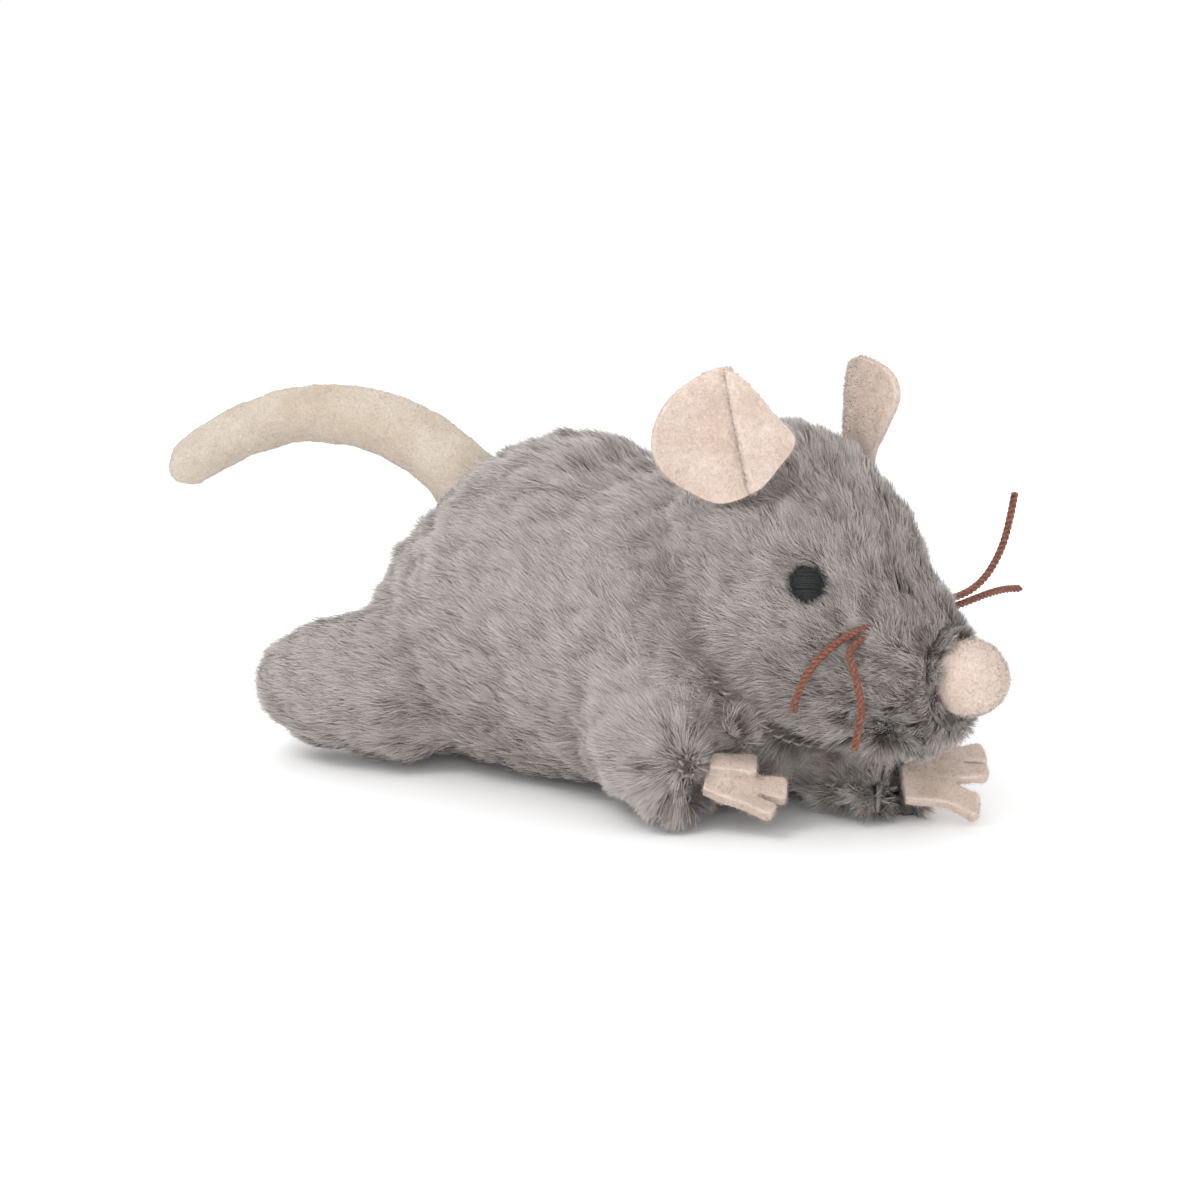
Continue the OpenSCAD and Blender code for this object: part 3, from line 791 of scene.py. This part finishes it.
def closed_curve(corners, count):
    """A smooth closed curve through its corners."""
    corners = np.array(corners, float)
    n = len(corners)
    out = []
    for t in np.linspace(0, n, count, endpoint=False):
        k, f = int(t), t - int(t)
        a, b, c, d = (corners[(k + j) % n] for j in (-1, 0, 1, 2))
        out.append(0.5 * (2 * b + (c - a) * f + (2 * a - 5 * b + 4 * c - d) * f * f
                          + (3 * b - a - 3 * c + d) * f ** 3))
    return np.array(out)


def fold_of(z):
    """Where the right ear's pleat runs at a height, toward the nose from its root."""
    return -0.2 * z


def ear_depth(side, x, z):
    """How far the felt stands back from the ear's plane; negative is toward its open face."""
    if side > 0:
        return -2.2 * ((x + 1.6) / 9.0) ** 2 + 0.3 * np.sin(z * 0.3)
    s = x - fold_of(z)
    deep = 1.0 - 0.6 * smoothstep(8, 19.5, z)
    dish = 1.6 - 2.6 * ((s + 8) / 9.0) ** 2 * (s < -8) - 0.022 * (s + 8) ** 2 * (s > -8)
    flap = -3.3 * deep + 0.2 * np.clip(s, 0, 12)
    return dish + smoothstep(-0.3, 0.25, s) * (flap - dish)


def ear_shape(side, rim):
    """Points and faces of an ear's felt: rings from its middle out to its rim, cupped or pleated."""
    centre = np.array(EAR_MIDDLES[side]) * EAR_SIZES[side]
    rings = [centre + (rim - centre) * r / EAR_RINGS for r in range(1, EAR_RINGS + 1)]
    flat = np.vstack([centre, *rings])
    depth = ear_depth(side, flat[:, 0], flat[:, 1])
    depth += 0.15 * waves(np.column_stack([flat, np.zeros(len(flat))]), 6, 91 + side)
    if side < 0:
        s = flat[:, 0] - fold_of(flat[:, 1])
        flat[:, 0] -= 1.3 * smoothstep(-0.3, 0.25, s) * np.exp(-np.clip(s, 0, 20) / 2.5)
    turn = -side * EAR_HEADING
    forward = np.array([math.cos(turn), math.sin(turn), 0])
    outward = np.array([-math.sin(turn), math.cos(turn), 0]) * (-side)
    points = (EAR_ROOTS[side] + np.outer(flat[:, 0], forward) + np.outer(depth, outward)
              + np.outer(flat[:, 1], [0, 0, 1]))
    faces = [(0, 1 + i, 1 + (i + 1) % RIM_POINTS) for i in range(RIM_POINTS)]
    for r in range(EAR_RINGS - 1):
        inner = 1 + r * RIM_POINTS
        outer = inner + RIM_POINTS
        for i in range(RIM_POINTS):
            after = (i + 1) % RIM_POINTS
            faces.append((inner + i, outer + i, outer + after, inner + after))
    return points, faces


def build_ears():
    for side in (1, -1):
        word = SIDE_NAMES[side]
        rim = closed_curve(EAR_OUTLINES[side], RIM_POINTS) * EAR_SIZES[side]
        ear = new_object(f"ear_felt_{word}", mesh_from(f"ear_felt_{word}", *ear_shape(side, rim)))
        thick = ear.modifiers.new("felt", "SOLIDIFY")
        thick.thickness = EAR_FELT * MM
        thick.offset = 0
        round_rim = ear.modifiers.new("rim", "SUBSURF")
        round_rim.levels = round_rim.render_levels = 1
        applied(ear)
        ear.data.materials.append(felt_pink)
        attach(ear, f"ear_{word}")
        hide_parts(f"ear_{word}")
        fuzz(f"ear_fuzz_{word}", f"ear_{word}", ear, 16000, 0.7, 93 + side, felt_fuzz, "pink_felt")


# ---- paws ----

# where each paw is sewn in, and its turns in degrees about z, y and x
PAW_SEATS = {1: ((75.7, 1.8, 5.8), 38, 0, 34), -1: ((52, -22.8, 8.8), 28, 8, 32)}
PAW_PLATES = {      # felt outlines about the wrist, with each plate's height above the paw's middle
    1: [([(-1.8, -2.8), (2.6, -3.4), (5.4, -3.8), (9.4, -6.1), (10.2, -5.9), (11.2, -2.5), (10.8, -1.7),
          (7.4, 0.1), (7.6, 1.2), (12.8, 1.9), (13.3, 2.5), (13.4, 4.8), (12.8, 5.3), (9.2, 5.3),
          (9.0, 5.8), (13.2, 6.2), (13.7, 6.8), (13.2, 9.6), (12.5, 10), (7.2, 9.2), (2.0, 6.6),
          (-1.8, 4.6)], 0)],
    -1: [([(-2.8, -2.6), (0.6, -3.6), (5.2, -4.6), (8.4, -5.9), (9.4, -5.6), (10.1, -3.2), (9.6, -2.6),
           (6.6, -1.9), (6.8, -1.2), (10.6, -1.3), (11.3, -0.8), (11.2, 2.4), (10.6, 3.1), (5.6, 2.6),
           (2.0, 3.4), (-2.8, 3.0)], -0.3),
         ([(-2.2, 0.6), (5.0, 1.0), (5.6, 1.5), (5.5, 4.9), (4.9, 5.4), (-2.2, 4.0)], 1.7)]}
PAW_FELT = 2.1


def turn_about(axis, degrees):
    a = math.radians(degrees)
    c, s = math.cos(a), math.sin(a)
    return {"x": np.array([[1, 0, 0], [0, c, -s], [0, s, c]]),
            "y": np.array([[c, 0, s], [0, 1, 0], [-s, 0, c]]),
            "z": np.array([[c, -s, 0], [s, c, 0], [0, 0, 1]])}[axis]


def plates(side):
    """Points and faces of a paw's felt plates, before their edges are rounded."""
    points, faces = [], []
    for outline, height in PAW_PLATES[side]:
        n, start = len(outline), len(points)
        points += [(x, y, height - PAW_FELT / 2) for x, y in outline]
        points += [(x, y, height + PAW_FELT / 2) for x, y in outline]
        faces.append(tuple(start + n - 1 - i for i in range(n)))
        faces.append(tuple(start + n + i for i in range(n)))
        faces += [(start + i, start + (i + 1) % n, start + n + (i + 1) % n, start + n + i)
                  for i in range(n)]
    return points, faces


def build_paws():
    for side in (1, -1):
        word = SIDE_NAMES[side]
        paw = new_object(f"paw_felt_{word}", mesh_from(f"paw_felt_{word}", *plates(side)))
        paw.modifiers.new("cut", "TRIANGULATE")
        remesh = paw.modifiers.new("wrap", "REMESH")
        remesh.mode = "VOXEL"
        remesh.voxel_size = 0.22 * MM
        smooth = paw.modifiers.new("smooth", "SMOOTH")
        smooth.iterations = 5
        applied(paw)
        p, normals = points_of(paw.data)
        p = p + normals * 0.15 * waves(p, 4, 95)[:, None]
        p[:, 2] += 0.5 * np.sin(p[:, 1] * 0.5 + side) * smoothstep(3, 12, p[:, 0])
        p[:, 2] -= 0.006 * np.clip(p[:, 0] - 3, 0, 20) ** 2
        root, heading, droop, roll = PAW_SEATS[side]
        turn = turn_about("z", heading) @ turn_about("y", droop) @ turn_about("x", roll)
        set_points(paw.data, p @ turn.T + np.array(root))
        paw.data.materials.append(felt_pink)
        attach(paw, f"paw_{word}")
        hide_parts(f"paw_{word}")
        fuzz(f"paw_fuzz_{word}", f"paw_{word}", paw, 7000, 0.6, 96 + side, felt_fuzz, "pink_felt")


# ---- tail ----

def build_tail():
    tail = wrapped("tail_fleece", ["tail_sleeve", "tail_filling"], 0.6, 16)
    points, normals = points_of(tail.data)
    lumps = 0.2 * waves(points, 9, 97) + 0.08 * waves(points, 3, 98)
    seam = np.exp(-((points[:, 1] - 1.5) / 0.5) ** 2) * (normals[:, 2] < -0.3)
    set_points(tail.data, points + normals * (lumps - 0.5 * seam)[:, None])
    tail.data.materials.append(fleece_cream)
    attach(tail, "tail")
    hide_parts("tail_sleeve")
    fuzz("tail_fuzz", "tail", tail, 30000, 0.55, 99, fleece_fuzz, "cream_fleece", 0.5)


# ---- cords and stitches ----

WHISKER_UPPER = [
    (67.2, -24.4, 23.6), (67.4, -23.8, 26), (68.2, -22.6, 29), (69.8, -20.6, 32.4),
    (72.4, -17.4, 35.4), (74.4, -12, 37), (75, -6, 37.2), (75, 0, 37.2), (75, 6, 37.2),
    (75, 12, 37.2), (76, 15.6, 37.4), (77.4, 19, 38.6), (78.4, 22.4, 41), (79, 25.8, 45),
    (79.1, 28.2, 49.6), (79, 30, 53.8)]
WHISKER_LOWER = [
    (76.2, -19.6, 17.5), (77.2, -20.2, 21), (77.9, -20.6, 25.4), (76.6, -20.2, 30),
    (74.2, -18, 33.6), (74.2, -12, 35.4), (75, -6, 35.6), (75, 0, 35.6), (75, 6, 35.6),
    (75, 12, 35.6), (76, 15.8, 35.8), (77.2, 19, 36.4), (78.2, 22.6, 36.9), (79, 27, 37),
    (80, 31, 36.6)]
CORD_DIAMETER = 1.4
CORD_LAY = 2.9          # length of one turn of its strands
CORD_STRANDS = 3


def spline(corners, step):
    """Points along a smooth open curve through its corners, about step apart."""
    corners = np.array(corners, float)
    padded = np.vstack([2 * corners[0] - corners[1], corners, 2 * corners[-1] - corners[-2]])
    out = []
    for k in range(len(corners) - 1):
        a, b, c, d = padded[k:k + 4]
        parts = max(2, int(np.linalg.norm(c - b) / step))
        for f in np.arange(parts) / parts:
            out.append(0.5 * (2 * b + (c - a) * f + (2 * a - 5 * b + 4 * c - d) * f * f
                              + (3 * b - a - 3 * c + d) * f ** 3))
    return np.array(out + [corners[-1]])


def twisted(path):
    """The strands of a twisted cord along a path, as (path, radius)."""
    run = unit(np.gradient(path, axis=0))
    along = np.concatenate([[0], np.cumsum(np.linalg.norm(np.diff(path, axis=0), axis=1))])
    side = unit(np.cross(run[0], [1.0, 0.1, 0.2]))
    sides = []
    for k in range(len(path)):
        side = unit(side - run[k] * (side @ run[k]))
        sides.append(side)
    sides = np.array(sides)
    others = np.cross(run, sides)
    made = []
    for s in range(CORD_STRANDS):
        a = 2 * math.pi * (along / CORD_LAY + s / CORD_STRANDS)
        offset = sides * np.cos(a)[:, None] + others * np.sin(a)[:, None]
        made.append((path + offset * CORD_DIAMETER * 0.27, CORD_DIAMETER * 0.235))
    return made


def build_whiskers():
    for word, route in (("upper", WHISKER_UPPER), ("lower", WHISKER_LOWER)):
        path = spline(route, 0.35)
        whisker = tubes(f"whisker_{word}", twisted(path), cord_copper, 8)
        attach(whisker, "head")
        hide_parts(f"whisker_cord_{word}")


STITCH_RADIUS = 0.3


def stitch_ring(name, node, body, centre, axis, radius, count, reach):
    """Slanted stitches round a ring, which stand for the CAD's thread. reach is how far each runs
    to both sides of the seam."""
    axis, across, up = frame_of(axis, (0, 1, 0))
    runs = []
    for k in range(count):
        a = math.radians(360 * k / count)
        b = a + math.radians(360 / count * 0.6)
        out_a = across * math.cos(a) + up * math.sin(a)
        out_b = across * math.cos(b) + up * math.sin(b)
        start = centre + out_a * radius - axis * reach
        end = centre + out_b * radius + axis * reach
        mid = (start + end) / 2 + (out_a + out_b) * 0.35
        runs.append((np.array([start, mid, end]), STITCH_RADIUS))
    ring = tubes(name, runs, sewing_thread)
    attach(ring, body)
    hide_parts(node)


def build_stitches():
    stitch_ring("neck_stitches", "neck_thread", "trunk", NECK, NECK_FORWARD,
                radius=25.2, count=60, reach=0.7)
    rise = math.radians(47)
    stitch_ring("tail_stitches", "tail_thread", "trunk", TAIL_ROOT, (-math.cos(rise), 0, math.sin(rise)),
                radius=6.9, count=26, reach=0.5)
    for side, cuff in CUFFS.items():
        word = SIDE_NAMES[side]
        stitch_ring(f"cuff_stitches_{word}", f"cuff_thread_{word}", f"arm_{word}", cuff,
                    CUFF_AXES[side], radius=1.4, count=8, reach=0.5)
    stitch_ring("muzzle_stitches", "muzzle_thread", "head", CHIN_PUCKER, CHIN_AXIS,
                radius=1.4, count=8, reach=0.5)


# ---- stuffing ----

# each filling's body, and how far its wadding lies inside the CAD solid
WADS = {"body_filling": ("trunk", 2.2), "hind_leg_filling_left": ("trunk", 2.2),
        "hind_leg_filling_right": ("trunk", 2.2), "head_filling": ("head", 2.2),
        "nose_filling": ("head", 1.0), "arm_filling_left": ("arm_left", 1.4),
        "arm_filling_right": ("arm_right", 2.2), "tail_filling": ("tail", 1.2)}


def build_wads():
    for node, (body, depth) in WADS.items():
        wad = wrapped(node.replace("filling", "wadding"), [node], 1.0, 8)
        points, normals = points_of(wad.data)
        set_points(wad.data, points - normals * (depth + 0.4 * waves(points, 5, 99))[:, None])
        wad.data.materials.append(wadding)
        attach(wad, body)
        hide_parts(node)


# ---- stage ----

CAMERA_AZIMUTH = math.radians(35)
CAMERA_RISE = math.radians(12)
CAMERA_DISTANCE = 0.56
CAMERA_LENS = 92.4
SENSOR_WIDTH = 36
LOOK_AT = Vector((0.011, 0, 0.0315))


def build_camera():
    data = bpy.data.cameras.new("camera")
    data.lens = CAMERA_LENS
    data.sensor_width = SENSOR_WIDTH
    camera = bpy.data.objects.new("camera", data)
    bpy.context.scene.collection.objects.link(camera)
    back = Vector((math.sin(CAMERA_AZIMUTH) * math.cos(CAMERA_RISE),
                   -math.cos(CAMERA_AZIMUTH) * math.cos(CAMERA_RISE), math.sin(CAMERA_RISE)))
    camera.location = LOOK_AT + back * CAMERA_DISTANCE
    camera.rotation_mode = "QUATERNION"
    camera.rotation_quaternion = (-back).to_track_quat("-Z", "Y")
    bpy.context.scene.camera = camera


def area_light(name, place, aim, size, power):
    data = bpy.data.lights.new(name, "AREA")
    data.shape = "DISK"
    data.size = size
    data.energy = power
    lamp = bpy.data.objects.new(name, data)
    bpy.context.scene.collection.objects.link(lamp)
    lamp.location = place
    lamp.rotation_mode = "QUATERNION"
    lamp.rotation_quaternion = (Vector(aim) - Vector(place)).to_track_quat("-Z", "Y")


FLOOR_HALF = 6000       # millimetres


def build_stage():
    """A wide pale floor under a white sky."""
    half = FLOOR_HALF
    corners = [(-half, -half, 0), (half, -half, 0), (half, half, 0), (-half, half, 0)]
    floor = new_object("floor", mesh_from("floor", corners, [(0, 1, 2, 3)], smooth=False))
    m, _, shader = material("pale_floor", 0.95, 0.0)
    shader.inputs["Base Color"].default_value = (0.97, 0.97, 0.97, 1)
    floor.data.materials.append(m)
    world = bpy.data.worlds.new("studio")
    world.use_nodes = True
    world.node_tree.nodes["Background"].inputs["Color"].default_value = (1, 1, 1, 1)
    world.node_tree.nodes["Background"].inputs["Strength"].default_value = 1.03
    bpy.context.scene.world = world
    area_light("key", (-0.1, -0.55, 0.75), (0.01, 0, 0.03), 0.45, 2.2)
    area_light("fill", (0.42, -0.6, 0.14), (0.03, 0, 0.03), 0.6, 2.2)
    area_light("rim", (-0.45, 0.5, 0.5), (0, 0, 0.03), 0.6, 2)
    bpy.context.scene.view_settings.view_transform = "Standard"


build_camera()
build_whiskers()
build_soft_forms()
build_nose()
build_eyes()
build_ears()
build_paws()
build_tail()
build_stitches()
build_wads()
build_stage()
